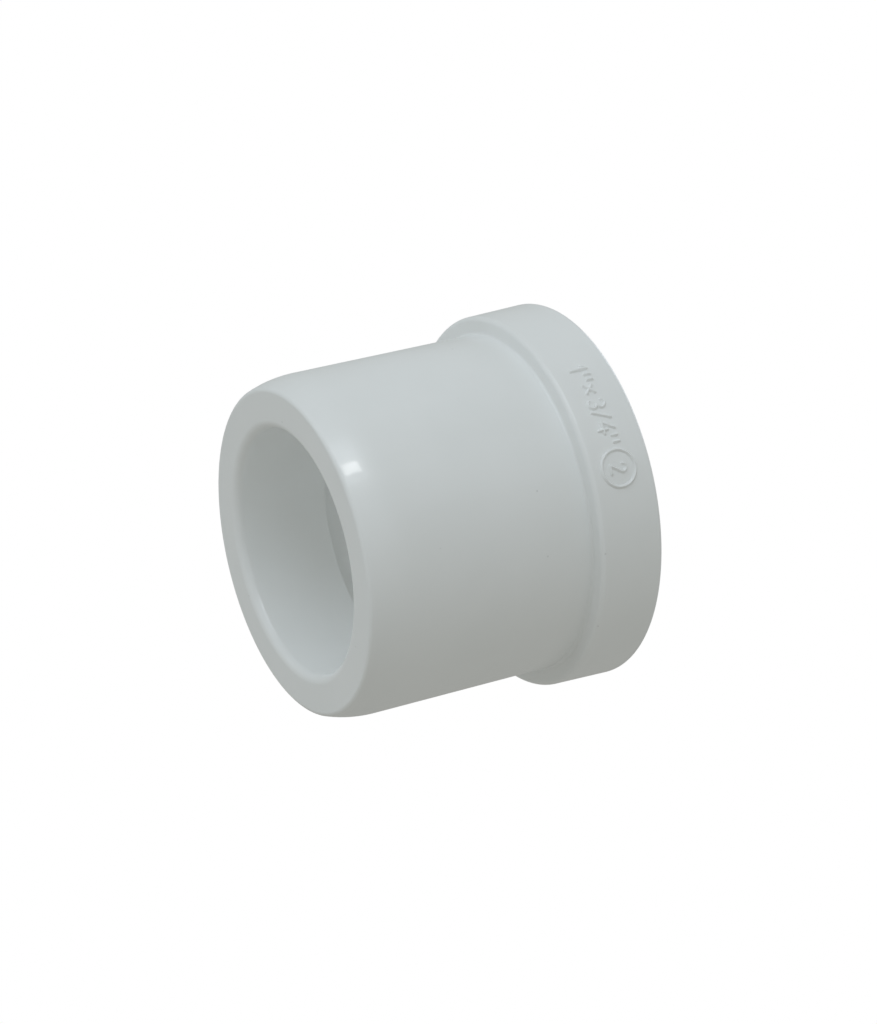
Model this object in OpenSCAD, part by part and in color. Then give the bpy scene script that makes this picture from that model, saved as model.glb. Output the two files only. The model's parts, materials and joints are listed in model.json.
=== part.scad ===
// Reducing coupling: a spigot-by-socket reducer bushing for solvent-welded PVC pipe.
// The spigot glues into a 1 inch socket, and the socket takes a 3/4 inch pipe.
// It stands on the collar's end face at z = 0, with the spigot's nose up. Millimetres.
// The real fitting is one moulding. It is divided here where its section changes.

/* [Spigot] */
// Outside diameter of the spigot, that of a 1 inch pipe
spigot_od = 33.40; // [33.2:0.05:33.6]
// Length of the spigot, from the shoulder to the nose face
spigot_len = 23.4; // [21:0.1:26]
// Length of the rounded lead-in at the nose
lead_in_len = 4.2; // [3:0.1:5]
// How far the lead-in drops below the spigot's surface at the nose face
lead_in_drop = 0.80; // [0.5:0.05:1.2]
// Radius of the edge between the lead-in and the nose face
nose_edge_r = 0.50; // [0.2:0.05:0.6]

/* [Collar] */
// Length of the collar, from its end face to the shoulder
collar_len = 6.6; // [6:0.1:9]
// Outside diameter of the collar at its end face
collar_od = 37.2; // [36.8:0.1:39]
// How much narrower the collar is at the shoulder, which lets it leave the mould
collar_draft = 0.30; // [0:0.05:0.4]
// Radius of the collar's edge at the shoulder
shoulder_edge_r = 0.50; // [0.3:0.05:1]
// Radius of the collar's edge at the end face
end_edge_r = 0.40; // [0.2:0.05:0.6]
// Fillet where the spigot meets the shoulder
root_fillet_r = 0.30; // [0.2:0.05:0.5]

/* [Socket and waterway] */
// Inside diameter of the socket, halfway down its slight taper
socket_id = 26.72; // [26.6:0.02:26.9]
// Depth of the socket, from the end face to the pipe stop
socket_depth = 20.1; // [18.5:0.1:21]
// Width and depth of the chamfer at the socket's mouth
mouth_chamfer = 0.7; // [0.4:0.1:1]
// Inside diameter of the waterway through the nose
waterway_id = 24.0; // [23:0.1:25.6]
// Radius of the waterway's edge at the nose face
waterway_edge_r = 0.90; // [0.3:0.05:1.2]
// Radius of the pipe stop's inner edge
stop_edge_r = 0.10; // [0.1:0.05:0.4]

/* [Raised marks] */
// How far the marks stand out of the collar
mark_relief = 0.22; // [0.1:0.02:0.3]
// Height of the size characters
mark_height = 2.1; // [1.6:0.1:2.4]
// Width of every stroke
stroke_w = 0.36; // [0.25:0.01:0.45]
// Angle about the axis at which the size mark begins
size_mark_start = -54.5; // [-58:0.5:-40]
// Angle about the axis of the cavity mark's centre
cavity_mark_at = -88; // [-100:0.5:-87]
// Outside radius of the cavity mark's ring
cavity_ring_r = 1.95; // [1.7:0.05:2]

/* [Hidden] */
$fn = 180;
arc_steps = 8;
pvc_white = [0.86, 0.88, 0.87];

spigot_r = spigot_od / 2;
socket_r = socket_id / 2;
waterway_r = waterway_id / 2;
total_len = collar_len + spigot_len;
collar_end_r = collar_od / 2;
collar_shoulder_r = collar_end_r - collar_draft / 2;
barrel_start = collar_len + root_fillet_r;
collar_wall_start = end_edge_r;
collar_wall_end = collar_len - shoulder_edge_r;
mark_z = collar_len * 0.54;
mark_base_r = collar_r_at(mark_z);
// the lead-in is an arc that meets the spigot's surface without a crease
lead_in_r = (lead_in_len * lead_in_len + lead_in_drop * lead_in_drop) / (2 * lead_in_drop);

// The collar's outside radius at a height, between its two rounded edges.
function collar_r_at(z) =
    collar_end_r - collar_draft / 2 * (z - collar_wall_start) / (collar_wall_end - collar_wall_start);

// Points along an arc of radius r about [x, y], from one angle to another.
function arc(x, y, r, from, to, steps = arc_steps) =
    [for (i = [0:steps]) let (a = from + (to - from) * i / steps) [x + r * cos(a), y + r * sin(a)]];

// The radius of the lead-in at a distance along the axis below the nose face.
function lead_in_radius_at(depth) =
    spigot_r - lead_in_r + sqrt(pow(lead_in_r, 2) - pow(lead_in_len - depth, 2));

// A closed outline that follows a path at a constant width, mitred at its corners.
function unit(v) = v / norm(v);
function side(v) = [-v[1], v[0]];
function path_normal(path, i) =
    let (
        before = unit(path[max(i, 1)] - path[max(i, 1) - 1]),
        after = unit(path[min(i, len(path) - 2) + 1] - path[min(i, len(path) - 2)]),
        middle = unit(side(before) + side(after))
    )
    middle / (middle * side(after));
function stroke_outline(path, w) =
    concat(
        [for (i = [0:len(path) - 1]) path[i] + path_normal(path, i) * w / 2],
        [for (i = [len(path) - 1:-1:0]) path[i] - path_normal(path, i) * w / 2]
    );

module ring_of(outline) {
    rotate_extrude() polygon(outline);
}

module stroke(path) {
    polygon(stroke_outline(path, stroke_w));
}

// The collar, with the socket's mouth, the shoulder and the root of the spigot.
module collar() {
    color(pvc_white)
    ring_of(concat(
        [[socket_r + mouth_chamfer, 0]],
        arc(collar_end_r - end_edge_r, collar_wall_start, end_edge_r, -90, 0),
        arc(collar_shoulder_r - shoulder_edge_r, collar_wall_end, shoulder_edge_r, 0, 90),
        arc(spigot_r + root_fillet_r, barrel_start, root_fillet_r, 270, 180),
        [[socket_r, barrel_start], [socket_r, mouth_chamfer]]
    ));
}

// The barrel is the plain tube around the socket.
module spigot_barrel() {
    color(pvc_white)
    ring_of([
        [socket_r, barrel_start], [spigot_r, barrel_start],
        [spigot_r, socket_depth], [socket_r, socket_depth]
    ]);
}

// The nose has the thicker wall. Its lower face, inside the barrel, is the pipe stop.
module pipe_stop_nose() {
    crease_angle = asin((lead_in_len - nose_edge_r) / lead_in_r);
    crease_r = lead_in_radius_at(nose_edge_r);
    color(pvc_white)
    ring_of(concat(
        arc(waterway_r + stop_edge_r, socket_depth + stop_edge_r, stop_edge_r, 180, 270, 4),
        [[spigot_r, socket_depth]],
        arc(spigot_r - lead_in_r, total_len - lead_in_len, lead_in_r, 0, crease_angle, 14),
        arc(crease_r - nose_edge_r * cos(crease_angle), total_len - nose_edge_r,
            nose_edge_r, crease_angle + 10, 90, 5),
        arc(waterway_r + waterway_edge_r, total_len - waterway_edge_r, waterway_edge_r, 90, 180)
    ));
}

// A skin over the collar's wall, as thick as the marks stand out.
module collar_skin() {
    ring_of([
        [collar_end_r, collar_wall_start], [collar_end_r + mark_relief, collar_wall_start],
        [collar_shoulder_r + mark_relief, collar_wall_end], [collar_shoulder_r, collar_wall_end]
    ]);
}

// Carries a flat shape out through the skin at an angle, with its top towards the end face.
module through_skin(angle) {
    rotate([0, 0, angle])
    translate([mark_base_r - 1, 0, mark_z])
    rotate([90, 0, 90])
    rotate([0, 0, 180])
    linear_extrude(2)
    children();
}

// The characters stand on the line y = -mark_height / 2 and are centred on x = 0.
module one() {
    h = mark_height / 2;
    stroke([[-h * 0.45, h * 0.55], [0, h - stroke_w / 2], [0, -h]]);
}

module two() {
    h = mark_height / 2;
    bend_r = h * 0.46;
    stroke(concat(
        arc(0, h - stroke_w / 2 - bend_r, bend_r, 170, -35, 10),
        [[-bend_r, stroke_w / 2 - h], [bend_r * 1.25, stroke_w / 2 - h]]
    ));
}

module three() {
    h = mark_height / 2;
    bend_r = (h - stroke_w / 2) / 2;
    stroke(arc(0, bend_r, bend_r, 150, -80, 10));
    stroke(arc(0, -bend_r, bend_r, 80, -150, 10));
}

module four() {
    h = mark_height / 2;
    stroke([[h * 0.2, h - stroke_w / 2], [-h * 0.55, -h * 0.4], [h * 0.65, -h * 0.4]]);
    stroke([[h * 0.25, h * 0.15], [h * 0.25, -h]]);
}

module times() {
    h = mark_height * 0.27;
    stroke([[-h, -h], [h, h]]);
    stroke([[-h, h], [h, -h]]);
}

module slash() {
    h = mark_height / 2;
    stroke([[-h * 0.45, -h], [h * 0.45, h]]);
}

module inch() {
    h = mark_height / 2;
    for (x = [-0.32, 0.32])
        stroke([[x, h * 0.3], [x, h]]);
}

// The nominal sizes of the two pipes, 1 inch by 3/4 inch, read from the first angle onwards.
module size_mark() {
    // distances along the collar from the first character to each character's centre
    places = [0.3, 1.3, 2.65, 4.3, 5.5, 6.8, 8.0];
    color(pvc_white)
    intersection() {
        collar_skin();
        for (i = [0:len(places) - 1])
            through_skin(size_mark_start - places[i] / mark_base_r * 180 / PI) {
                if (i == 0) one();
                if (i == 1 || i == 6) inch();
                if (i == 2) times();
                if (i == 3) three();
                if (i == 4) slash();
                if (i == 5) four();
            }
    }
}

// A ring around the number of the mould's cavity.
module cavity_mark() {
    color(pvc_white)
    intersection() {
        collar_skin();
        through_skin(cavity_mark_at) {
            difference() {
                circle(cavity_ring_r, $fn = 72);
                circle(cavity_ring_r - stroke_w, $fn = 72);
            }
            two();
        }
    }
}

collar();
spigot_barrel();
pipe_stop_nose();
size_mark();
cavity_mark();
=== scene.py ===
"""A white PVC reducer bushing, 1 inch spigot by 3/4 inch socket, on a plain white floor.

The moulding stands on its collar with the nose up. Its three zones are turned profiles with
exact normals, so that they meet without a visible seam, and the raised marks are soft-edged
strokes wrapped round the collar. All sizes are in metres.
"""

import json
import math

import bmesh
import bpy
import numpy as np
from mathutils import Matrix, Vector


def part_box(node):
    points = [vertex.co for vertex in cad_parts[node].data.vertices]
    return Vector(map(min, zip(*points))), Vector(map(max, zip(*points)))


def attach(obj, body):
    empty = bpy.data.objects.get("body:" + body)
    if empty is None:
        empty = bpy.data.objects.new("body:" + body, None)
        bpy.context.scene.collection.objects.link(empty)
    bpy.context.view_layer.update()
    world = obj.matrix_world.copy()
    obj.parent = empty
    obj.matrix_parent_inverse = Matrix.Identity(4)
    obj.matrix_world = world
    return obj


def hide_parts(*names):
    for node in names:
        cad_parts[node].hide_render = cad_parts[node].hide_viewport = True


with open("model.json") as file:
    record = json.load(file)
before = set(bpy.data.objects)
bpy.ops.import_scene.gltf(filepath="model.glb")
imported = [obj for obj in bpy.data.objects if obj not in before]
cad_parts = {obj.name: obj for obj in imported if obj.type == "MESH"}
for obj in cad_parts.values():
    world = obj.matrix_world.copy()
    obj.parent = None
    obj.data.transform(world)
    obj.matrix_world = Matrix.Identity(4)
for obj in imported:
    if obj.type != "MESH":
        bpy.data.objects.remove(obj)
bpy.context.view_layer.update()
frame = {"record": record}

MM = 0.001

# ---- Sizes that the frame gives ----
MOUNTS = {mount["name"]: mount for mount in frame["record"]["mounts"]}
SPIGOT_R = MOUNTS["spigot"]["dims"]["r_mm"] * MM
LEAD_IN_START = MOUNTS["spigot"]["pos_m"][2]
SOCKET_R = MOUNTS["socket"]["dims"]["r_mm"] * MM
SHOULDER_Z = MOUNTS["shoulder"]["pos_m"][2]
BARREL_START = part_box("spigot_barrel")[0].z
PIPE_STOP_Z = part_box("spigot_barrel")[1].z
COLLAR_END_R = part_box("collar")[1].x
NOSE_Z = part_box("pipe_stop_nose")[1].z

# ---- Sizes of the moulding's details ----
ROOT_FILLET_R = BARREL_START - SHOULDER_Z
# how much smaller the collar's radius is at the shoulder than at the end face
COLLAR_DRAFT = 0.15 * MM
COLLAR_SHOULDER_R = COLLAR_END_R - COLLAR_DRAFT
SHOULDER_EDGE_R = 0.50 * MM
END_EDGE_R = 0.40 * MM
MOUTH_CHAMFER = 0.70 * MM
MOUTH_EDGE_R = 0.15 * MM
WATERWAY_R = 12.00 * MM
WATERWAY_EDGE_R = 0.90 * MM
STOP_EDGE_R = 0.10 * MM
LEAD_IN_DROP = 0.80 * MM
NOSE_EDGE_R = 0.50 * MM
# how many steps a turned zone takes round the axis
TURNS = 288

# ---- Sizes of the raised marks ----
MARK_Z = SHOULDER_Z * 0.54
MARK_RELIEF = 0.21 * MM
STROKE_W = 0.40 * MM
# the width over which a stroke rises from its foot to its flat top
STROKE_SHOULDER = 0.17 * MM
# the step of the marks' height field, and how deep it reaches under the collar's surface
MARK_GRID = 0.035 * MM
MARK_ROOT = 0.06 * MM
MARK_SHARP_ANGLE = math.radians(50)
CHARACTER_H = 2.1 * MM
SIZE_MARK = '1"x3/4"'
SIZE_MARK_START = math.radians(-54.5)
# distances round the collar from the start angle to each character's centre
SIZE_MARK_PLACES = [d * MM for d in (0.3, 1.3, 2.65, 4.3, 5.5, 6.8, 8.0)]
CAVITY_MARK_AT = math.radians(-88)
CAVITY_RING_R = 1.77 * MM

# ---- The photograph's viewpoint ----
VIEW_TARGET = Vector((0.56, -0.48, 14.03)) * MM
VIEW_DISTANCE = 345.4 * MM
VIEW_AZIMUTH = 0.10
VIEW_ELEVATION = 26.25
VIEW_ROLL = 103.36
LENS = 125.3
SENSOR = 36.0

# ---- The studio: softboxes of one size all round the object, in even light ----
SOFTBOX_DISTANCE = 0.60
SOFTBOX_SIZE = 0.34
SOFTBOX_COLOUR = (0.90, 1.01, 1.12)
# each one's name, its direction from the object, its brightness and whether gloss reflects it
SOFTBOXES = (
    ("key", (0.75, -0.65, 0.15), 1.7, True),
    ("key_top", (0.65, 0.1, 0.75), 1.2, False),
    ("key_front", (0.65, -0.4, 0.65), 0.6, True),
    ("low", (0.4, 0.2, -0.9), 2.0, True),
    ("low_front", (0.4, -0.85, -0.3), 0.3, True),
    ("front", (0.1, -1.0, 0.05), 0.3, True),
    ("back", (0.25, 0.95, 0.0), 1.2, False),
)
EVEN_COLOUR = (0.985, 1.00, 0.95, 1)
EVEN_BRIGHTNESS = 0.38
FLOOR_HALF = 3.0
# a small lamp for the bright spot on the lead-in
GLINT_AT = (0.0058, -0.0145, 0.0288)
GLINT_TOWARDS = (0.70, -0.71, 0.05)
GLINT_DISTANCE = 0.15
GLINT_SIZE = (0.020, 0.038)
GLINT_BRIGHTNESS = 14.0


# ---- Turned profiles ----
# A run is a smooth stretch of an outline: a list of points, each with its radius, its height and
# the radial and axial parts of its normal. An outline goes round with the solid on its left, so a
# normal points to the right of travel.

def line(start, end):
    """A straight run between two (radius, height) points."""
    along = np.subtract(end, start)
    normal = np.array([along[1], -along[0]]) / np.linalg.norm(along)
    return [(*start, *normal), (*end, *normal)]


def arc(centre, radius, start, end, steps=12):
    """A round run from one angle to another, in degrees. Falling angles make a hollow fillet."""
    side = 1 if end > start else -1
    run = []
    for angle in np.radians(np.linspace(start, end, steps + 1)):
        outwards = math.cos(angle)
        upwards = math.sin(angle)
        run.append((
            centre[0] + radius * outwards,
            centre[1] + radius * upwards,
            side * outwards,
            side * upwards,
        ))
    return run


def joined(runs):
    """Closes a list of runs, with a straight run across every gap between one and the next."""
    touching = 1e-9
    whole = []
    for run, following in zip(runs, runs[1:] + runs[:1]):
        whole.append(run)
        if math.dist(run[-1][:2], following[0][:2]) > touching:
            whole.append(line(run[-1][:2], following[0][:2]))
    return whole


def turned(name, runs):
    """Turns a closed outline about the Z axis into a mesh whose normals are the outline's own."""
    turn = np.linspace(0, 2 * math.pi, TURNS, endpoint=False)
    spans = [(run[i], run[i + 1]) for run in runs for i in range(len(run) - 1)]
    rings = len(spans)
    radius = np.array([low[0] for low, _ in spans])
    height = np.array([low[1] for low, _ in spans])
    places = np.stack(
        [
            np.outer(radius, np.cos(turn)),
            np.outer(radius, np.sin(turn)),
            np.repeat(height[:, None], TURNS, axis=1),
        ],
        axis=-1,
    ).reshape(-1, 3)

    faces = []
    normals = []
    for ring, (low, high) in enumerate(spans):
        above = (ring + 1) % rings
        for step in range(TURNS):
            after = (step + 1) % TURNS
            faces.append((
                ring * TURNS + step,
                ring * TURNS + after,
                above * TURNS + after,
                above * TURNS + step,
            ))
            for end, at in ((low, step), (low, after), (high, after), (high, step)):
                normals.append((end[2] * math.cos(turn[at]), end[2] * math.sin(turn[at]), end[3]))

    mesh = bpy.data.meshes.new(name)
    mesh.from_pydata(places.tolist(), [], faces)
    mesh.shade_smooth()
    mesh.normals_split_custom_set(normals)
    return linked(bpy.data.objects.new(name, mesh))


def linked(thing):
    """Puts an object in the scene and hands it back."""
    bpy.context.scene.collection.objects.link(thing)
    return thing


def make_collar():
    """The collar, the shoulder, the root fillet and the socket's mouth."""
    mouth_r = SOCKET_R + MOUTH_CHAMFER
    bevel = MOUTH_EDGE_R * math.tan(math.radians(22.5))
    shoulder_edge = (COLLAR_SHOULDER_R - SHOULDER_EDGE_R, SHOULDER_Z - SHOULDER_EDGE_R)
    return turned("collar_moulding", joined([
        arc((mouth_r + bevel, MOUTH_EDGE_R), MOUTH_EDGE_R, 225, 270, 5),
        arc((COLLAR_END_R - END_EDGE_R, END_EDGE_R), END_EDGE_R, 270, 360),
        arc(shoulder_edge, SHOULDER_EDGE_R, 0, 90, 16),
        arc((SPIGOT_R + ROOT_FILLET_R, BARREL_START), ROOT_FILLET_R, 270, 180),
        line((SPIGOT_R, BARREL_START), (SOCKET_R, BARREL_START)),
        arc((SOCKET_R + MOUTH_EDGE_R, MOUTH_CHAMFER + bevel), MOUTH_EDGE_R, 180, 225, 5),
    ]))


def make_barrel():
    """The plain tube around the socket."""
    return turned("barrel_moulding", joined([
        line((SPIGOT_R, BARREL_START), (SPIGOT_R, PIPE_STOP_Z)),
        line((SOCKET_R, PIPE_STOP_Z), (SOCKET_R, BARREL_START)),
    ]))


def make_nose():
    """The thicker nose: the pipe stop below, the lead-in outside and the waterway through it."""
    lead_in_len = NOSE_Z - LEAD_IN_START
    lead_in_r = (lead_in_len ** 2 + LEAD_IN_DROP ** 2) / (2 * LEAD_IN_DROP)
    lead_in_centre = (SPIGOT_R - lead_in_r, LEAD_IN_START)
    # the edge round rolls inside the lead-in's arc and touches the nose face
    edge_z = NOSE_Z - NOSE_EDGE_R
    edge_angle = math.asin((edge_z - LEAD_IN_START) / (lead_in_r - NOSE_EDGE_R))
    edge_r = lead_in_centre[0] + (lead_in_r - NOSE_EDGE_R) * math.cos(edge_angle)
    edge_angle = math.degrees(edge_angle)
    mouth_edge = (WATERWAY_R + WATERWAY_EDGE_R, NOSE_Z - WATERWAY_EDGE_R)
    stop_edge = (WATERWAY_R + STOP_EDGE_R, PIPE_STOP_Z + STOP_EDGE_R)
    return turned("nose_moulding", joined([
        line((SPIGOT_R, PIPE_STOP_Z), (SPIGOT_R, LEAD_IN_START)),
        arc(lead_in_centre, lead_in_r, 0, edge_angle, 28),
        arc((edge_r, edge_z), NOSE_EDGE_R, edge_angle, 90, 10),
        arc(mouth_edge, WATERWAY_EDGE_R, 90, 180),
        arc(stop_edge, STOP_EDGE_R, 180, 270, 8),
        line((SOCKET_R, PIPE_STOP_Z), (SPIGOT_R, PIPE_STOP_Z)),
    ]))


# ---- Raised marks ----
# A mark is drawn flat as centre lines, x along the reading direction and y towards its top.

def bend(x, y, radius, start, end, steps=14):
    """Points along a round stretch of a centre line, in degrees."""
    angles = np.radians(np.linspace(start, end, steps + 1))
    return [(x + radius * math.cos(a), y + radius * math.sin(a)) for a in angles]


def characters():
    """The centre lines of each character, centred on the origin."""
    h = (CHARACTER_H - STROKE_W) / 2
    small = h * 0.5
    tick = h * 0.38
    return {
        "1": [[(-h * 0.45, h * 0.5), (0, h), (0, -h)]],
        "2": [bend(0, h * 0.45, h * 0.45, 165, -38) + [(-h * 0.45, -h), (h * 0.5, -h)]],
        "3": [bend(0, small, small, 150, -80), bend(0, -small, small, 80, -150)],
        "4": [
            [(h * 0.2, h), (-h * 0.6, -h * 0.4), (h * 0.65, -h * 0.4)],
            [(h * 0.25, h * 0.1), (h * 0.25, -h)],
        ],
        "x": [[(-small, -small), (small, small)], [(-small, small), (small, -small)]],
        "/": [[(-h * 0.45, -h), (h * 0.45, h)]],
        '"': [[(-tick, h * 0.35), (-tick, h)], [(tick, h * 0.35), (tick, h)]],
    }


def moved(paths, x):
    """The same centre lines, further along the reading direction."""
    return [[(px + x, py) for px, py in path] for path in paths]


def distance_to(paths, x, y):
    """How far each grid point is from the nearest centre line."""
    nearest = np.full(x.shape, np.inf)
    for path in paths:
        for (ax, ay), (bx, by) in zip(path, path[1:]):
            dx, dy = bx - ax, by - ay
            share = np.clip(((x - ax) * dx + (y - ay) * dy) / (dx * dx + dy * dy), 0, 1)
            nearest = np.minimum(nearest, np.hypot(x - ax - share * dx, y - ay - share * dy))
    return nearest


def collar_r_at(z):
    """The collar's outside radius at a height, between its two rounded edges."""
    top = SHOULDER_Z - SHOULDER_EDGE_R
    return COLLAR_END_R - COLLAR_DRAFT * (z - END_EDGE_R) / (top - END_EDGE_R)


def raised(name, paths, start):
    """Raises strokes along centre lines out of the collar, reading onwards from the start angle.

    The relief is a height field on a fine grid. It keeps falling past the strokes' feet, so that
    the grid's stepped border lies just under the collar's surface.
    """
    points = np.array([point for path in paths for point in path])
    low = points.min(axis=0) - STROKE_W
    high = points.max(axis=0) + STROKE_W
    x, y = np.meshgrid(
        np.arange(low[0], high[0], MARK_GRID),
        np.arange(low[1], high[1], MARK_GRID),
        indexing="ij",
    )
    inside = (STROKE_W / 2 - distance_to(paths, x, y)) / STROKE_SHOULDER
    crown = np.clip(inside, 0, 1)
    # the flanks lie between a straight slope and a soft S
    flank = crown * crown * (3 - 2 * crown) * 0.55 + crown * 0.45
    relief = MARK_RELIEF * np.where(inside > 0, flank, inside)
    kept = relief > -MARK_ROOT
    whole_cell = kept[:-1, :-1] & kept[1:, :-1] & kept[:-1, 1:] & kept[1:, 1:]

    z = MARK_Z - y
    turn = start - x / collar_r_at(MARK_Z)

    def placed(lift):
        """The grid's points, wrapped round the collar at a height above its surface."""
        r = collar_r_at(z) + lift
        return np.stack([r * np.cos(turn), r * np.sin(turn), z], axis=-1).reshape(-1, 3)

    top = placed(np.maximum(relief, -MARK_ROOT))
    bottom = placed(np.full(x.shape, -2 * MARK_ROOT))
    columns = x.shape[1]
    count = x.size
    faces = []
    edges = {}
    for i, j in np.argwhere(whole_cell).tolist():
        near = i * columns + j
        far = near + columns
        ring = [near, far, far + 1, near + 1]
        faces.append(ring)
        faces.append([corner + count for corner in reversed(ring)])
        for a, b in zip(ring, ring[1:] + ring[:1]):
            if (b, a) in edges:
                del edges[(b, a)]
            else:
                edges[(a, b)] = True
    faces += [[b, a, a + count, b + count] for a, b in edges]

    mesh = bpy.data.meshes.new(name)
    mesh.from_pydata(np.vstack([top, bottom]).tolist(), [], faces)
    piece = linked(bpy.data.objects.new(name, mesh))
    tidy_mesh(mesh)
    return piece


def tidy_mesh(mesh):
    """Drops unused points, turns every face outwards and shades all but sharp corners smooth."""
    work = bmesh.new()
    work.from_mesh(mesh)
    bmesh.ops.delete(work, geom=[v for v in work.verts if not v.link_faces], context="VERTS")
    bmesh.ops.recalc_face_normals(work, faces=work.faces)
    for edge in work.edges:
        edge.smooth = len(edge.link_faces) == 2 and edge.calc_face_angle() < MARK_SHARP_ANGLE
    work.to_mesh(mesh)
    work.free()
    mesh.shade_smooth()


def make_size_mark():
    """The two nominal pipe sizes, read from the start angle onwards."""
    shapes = characters()
    paths = []
    for character, place in zip(SIZE_MARK, SIZE_MARK_PLACES):
        paths += moved(shapes[character], place)
    return raised("size_numerals", paths, SIZE_MARK_START)


def make_cavity_mark():
    """A ring round the number of the mould's cavity."""
    ring = bend(0, 0, CAVITY_RING_R, 0, 360, 48)
    return raised("cavity_numeral", [ring] + characters()["2"], CAVITY_MARK_AT)


# ---- Materials ----

def node(tree, kind, **settings):
    """Adds a shader node. Each setting is an input of that name, or else an attribute."""
    made = tree.nodes.new(kind)
    for key, value in settings.items():
        name = key.replace("_", " ").title()
        if name in made.inputs:
            made.inputs[name].default_value = value
        else:
            setattr(made, key, value)
    return made


def pvc_material():
    """Smooth white rigid PVC as it leaves the mould: a satin body under a thin glossy skin."""
    material = bpy.data.materials.new("white_pvc")
    material.use_nodes = True
    tree = material.node_tree
    link = tree.links.new
    shader = tree.nodes["Principled BSDF"]
    shader.inputs["IOR"].default_value = 1.53
    shader.inputs["Coat Weight"].default_value = 0.3
    shader.inputs["Coat Roughness"].default_value = 0.07
    place = node(tree, "ShaderNodeTexCoord").outputs["Object"]

    def noise(scale, detail, at=place):
        """Noise from 0 to 1, with so many cells to the metre."""
        made = node(tree, "ShaderNodeTexNoise", scale=scale, detail=detail, roughness=0.55)
        link(at, made.inputs["Vector"])
        return made.outputs["Fac"]

    def spread(value, low, high, to_low, to_high):
        """A value stretched from one range to another."""
        made = node(
            tree, "ShaderNodeMapRange", from_min=low, from_max=high, to_min=to_low, to_max=to_high
        )
        link(value, made.inputs["Value"])
        return made.outputs["Result"]

    def sum_of(first, second):
        """Two values added together."""
        made = node(tree, "ShaderNodeMath", operation="ADD")
        link(first, made.inputs[0])
        link(second, made.inputs[1])
        return made.outputs["Value"]

    # colour: broad drifts of tone, and sparse fine specks in the compound
    tone = node(tree, "ShaderNodeValToRGB")
    tone.color_ramp.elements[0].position = 0.30
    tone.color_ramp.elements[0].color = (0.872, 0.886, 0.878, 1)
    tone.color_ramp.elements[1].position = 0.72
    tone.color_ramp.elements[1].color = (0.896, 0.908, 0.901, 1)
    link(noise(110.0, 3.0), tone.inputs["Fac"])
    cells = node(tree, "ShaderNodeTexVoronoi", scale=320.0)
    link(place, cells.inputs["Vector"])
    speckled = node(tree, "ShaderNodeVectorMath", operation="SCALE")
    link(tone.outputs["Color"], speckled.inputs["Vector"])
    link(spread(cells.outputs["Distance"], 0.018, 0.042, 0.84, 1.0), speckled.inputs["Scale"])
    link(speckled.outputs["Vector"], shader.inputs["Base Color"])

    # the mould's core and cavity leave faint draw lines along the axis
    stretched = node(tree, "ShaderNodeMapping")
    stretched.inputs["Scale"].default_value = (1.0, 1.0, 0.05)
    link(place, stretched.inputs["Vector"])
    draw_lines = noise(2600.0, 2.0, stretched.outputs["Vector"])

    # roughness: satin patches where the mould's polish differs, and the draw lines
    satin = spread(noise(420.0, 4.0), 0.3, 0.7, 0.36, 0.42)
    link(sum_of(satin, spread(draw_lines, 0.3, 0.7, -0.02, 0.03)), shader.inputs["Roughness"])

    # relief: faint orange peel over slow sinks in the wall, and the draw lines
    peel = spread(noise(900.0, 3.0), 0.0, 1.0, 0.0, 0.35)
    sinks = spread(noise(240.0, 1.0), 0.0, 1.0, 0.0, 1.0)
    lines = spread(draw_lines, 0.0, 1.0, 0.0, 0.06)
    bump = node(tree, "ShaderNodeBump", strength=0.5, distance=0.004 * MM)
    link(sum_of(sum_of(peel, sinks), lines), bump.inputs["Height"])
    link(bump.outputs["Normal"], shader.inputs["Normal"])
    link(bump.outputs["Normal"], shader.inputs["Coat Normal"])
    return material


def floor_material():
    """Plain white, and lit from within so that no shade falls on it."""
    material = bpy.data.materials.new("white_floor")
    material.use_nodes = True
    shader = material.node_tree.nodes["Principled BSDF"]
    shader.inputs["Base Color"].default_value = (0, 0, 0, 1)
    shader.inputs["Specular IOR Level"].default_value = 0
    shader.inputs["Emission Color"].default_value = (1, 1, 1, 1)
    shader.inputs["Emission Strength"].default_value = 1.0
    return material


# ---- Stage, lights and camera ----

def make_floor():
    """A floor that only the camera sees, so that the softboxes below it light the object too."""
    half = FLOOR_HALF
    corners = [(-half, -half, 0), (half, -half, 0), (half, half, 0), (-half, half, 0)]
    mesh = bpy.data.meshes.new("floor")
    mesh.from_pydata(corners, [], [(0, 1, 2, 3)])
    mesh.materials.append(floor_material())
    floor = linked(bpy.data.objects.new("floor", mesh))
    floor.visible_diffuse = False
    floor.visible_glossy = False
    floor.visible_transmission = False
    floor.visible_shadow = False


def softbox(name, at, towards, distance, size, brightness, colour):
    """A rectangular light that shines at a point from a direction and isn't seen by the camera."""
    light = bpy.data.lights.new(name, "AREA")
    light.shape = "RECTANGLE"
    light.size, light.size_y = size
    light.energy = brightness * math.pi * size[0] * size[1]
    light.color = colour
    lamp = linked(bpy.data.objects.new(name, light))
    direction = Vector(towards).normalized()
    lamp.location = Vector(at) + direction * distance
    lamp.rotation_mode = "QUATERNION"
    lamp.rotation_quaternion = (-direction).to_track_quat("-Z", "Y")
    lamp.visible_camera = False
    return lamp


def make_lights():
    """The softboxes, all aimed at the middle of the object."""
    middle = (0, 0, NOSE_Z / 2)
    size = (SOFTBOX_SIZE, SOFTBOX_SIZE)
    for name, towards, brightness, reflected in SOFTBOXES:
        lamp = softbox(name, middle, towards, SOFTBOX_DISTANCE, size, brightness, SOFTBOX_COLOUR)
        lamp.visible_glossy = reflected


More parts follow.
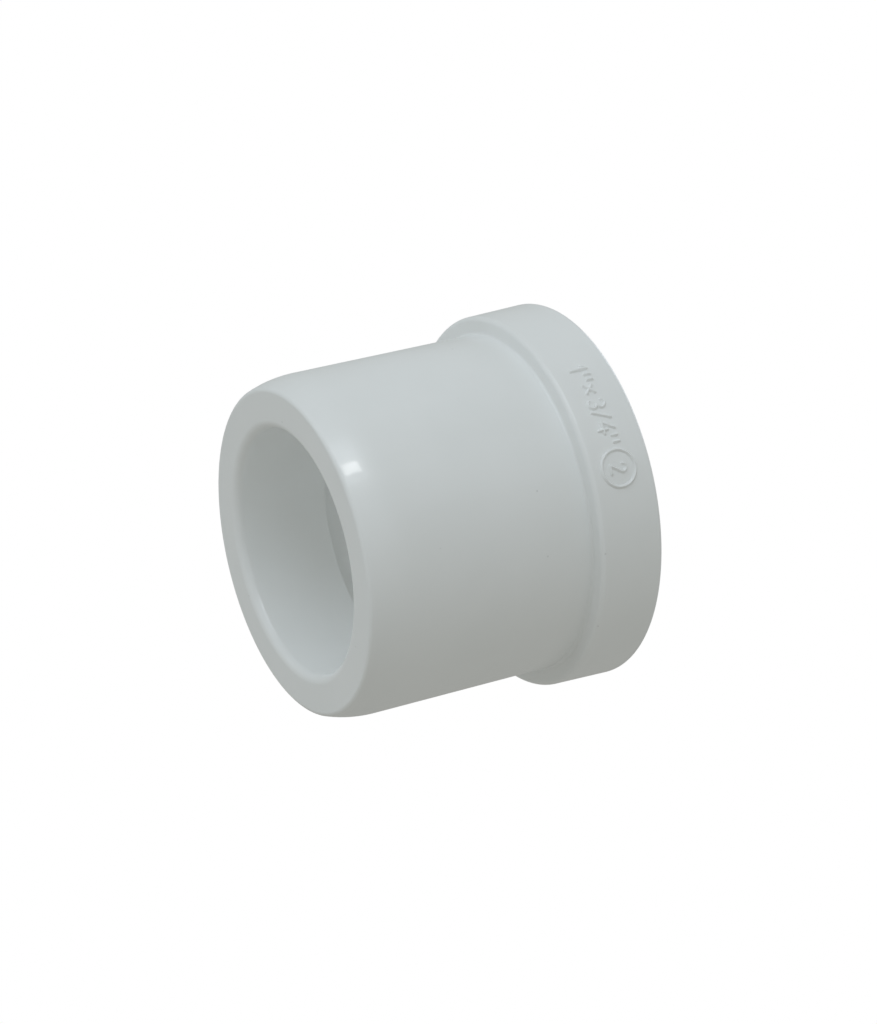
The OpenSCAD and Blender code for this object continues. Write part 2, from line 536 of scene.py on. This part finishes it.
def make_glint(nose):
    """A small bright lamp that only the gloss of the nose's lead-in picks up."""
    glint = softbox(
        "glint", GLINT_AT, GLINT_TOWARDS, GLINT_DISTANCE, GLINT_SIZE, GLINT_BRIGHTNESS, (1, 1, 1)
    )
    glint.visible_diffuse = False
    lit = bpy.data.collections.new("glint_receivers")
    lit.objects.link(nose)
    glint.light_linking.receiver_collection = lit


def make_camera():
    """The camera at the photograph's viewpoint, rolled so that the object lies on its side."""
    data = bpy.data.cameras.new("camera")
    data.lens = LENS
    data.sensor_width = SENSOR
    data.clip_start = 0.01
    data.clip_end = 20
    camera = linked(bpy.data.objects.new("camera", data))
    azimuth = math.radians(VIEW_AZIMUTH)
    elevation = math.radians(VIEW_ELEVATION)
    looking = Vector((
        math.sin(azimuth) * math.cos(elevation),
        math.cos(azimuth) * math.cos(elevation),
        -math.sin(elevation),
    ))
    level = looking.to_track_quat("-Z", "Y")
    roll = Matrix.Rotation(math.radians(VIEW_ROLL), 4, looking)
    place = Matrix.Translation(VIEW_TARGET - looking * VIEW_DISTANCE)
    camera.matrix_world = place @ roll @ level.to_matrix().to_4x4()
    bpy.context.scene.camera = camera


def make_world():
    """Even light from everywhere. The camera sees it as white, like the floor."""
    world = bpy.data.worlds.new("studio")
    bpy.context.scene.world = world
    world.use_nodes = True
    tree = world.node_tree
    even = tree.nodes["Background"]
    even.inputs["Color"].default_value = EVEN_COLOUR
    even.inputs["Strength"].default_value = EVEN_BRIGHTNESS
    white = node(tree, "ShaderNodeBackground", color=(1, 1, 1, 1), strength=1.0)
    chosen = node(tree, "ShaderNodeMixShader")
    tree.links.new(node(tree, "ShaderNodeLightPath").outputs["Is Camera Ray"], chosen.inputs[0])
    tree.links.new(even.outputs["Background"], chosen.inputs[1])
    tree.links.new(white.outputs["Background"], chosen.inputs[2])
    tree.links.new(chosen.outputs["Shader"], tree.nodes["World Output"].inputs["Surface"])


make_camera()
make_floor()
make_lights()
make_world()
bpy.context.scene.view_settings.view_transform = "Standard"

white_pvc = pvc_material()
for make, nodes in (
    (make_collar, ["collar"]),
    (make_barrel, ["spigot_barrel"]),
    (make_nose, ["pipe_stop_nose"]),
    (make_size_mark, ["size_mark"]),
    (make_cavity_mark, ["cavity_mark"]),
):
    piece = make()
    piece.data.materials.append(white_pvc)
    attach(piece, "root")
    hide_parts(*nodes)
make_glint(bpy.data.objects["nose_moulding"])
